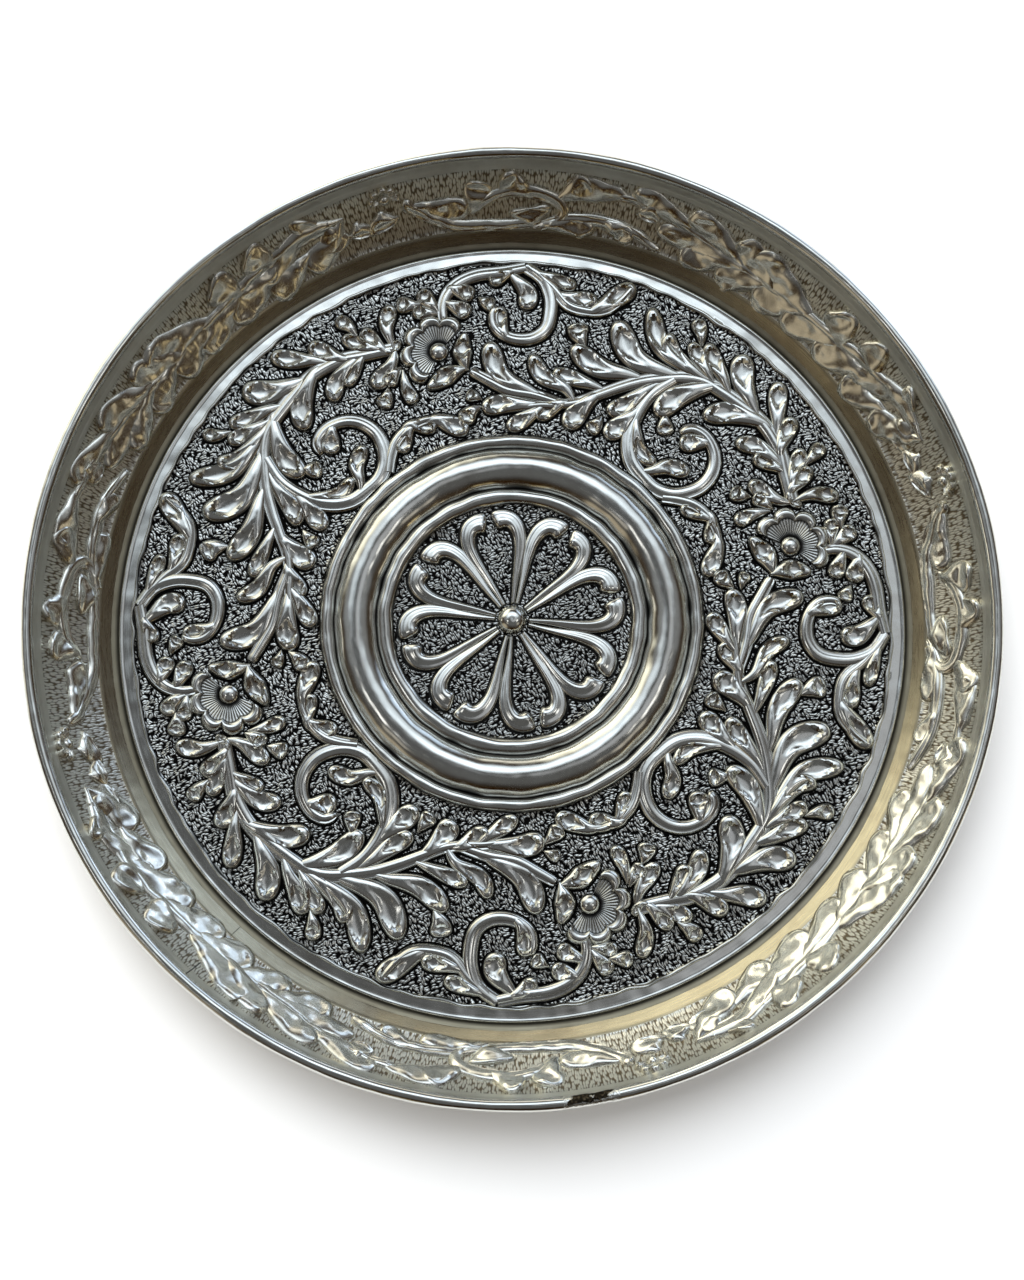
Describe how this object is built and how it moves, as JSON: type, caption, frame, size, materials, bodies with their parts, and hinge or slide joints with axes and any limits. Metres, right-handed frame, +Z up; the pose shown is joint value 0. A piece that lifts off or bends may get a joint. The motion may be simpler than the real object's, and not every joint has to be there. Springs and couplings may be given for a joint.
{
  "type": "thali plate",
  "caption": "Round chased metal thali plate with a flared side wall, a wired rim and a raised ring round a petalled rosette, for serving food or holding offerings.",
  "frame": {"origin": "on the plate's axis, level with the underside of the wall's flange, which the plate stands on", "axes": "+Z is up along the plate's axis, +X is to the right and -Y is towards the viewer of the picture"},
  "size_m": [0.254, 0.254, 0.025],
  "materials": {
    "chased_floor": "polished",
    "chased_wall": "polished",
    "rim_wire": "polished",
    "bead": "polished",
    "solder": "satin",
    "burnt_solder": "rough"
  },
  "bodies": {
    "root": {"floor_panel": "chased_floor", "wall_band": "chased_wall", "wall_joint": "solder", "floor_seam": "solder", "rim_wire": "rim_wire", "rim_joint": "burnt_solder", "centre_bead": "bead"}
  },
  "joints": []
}
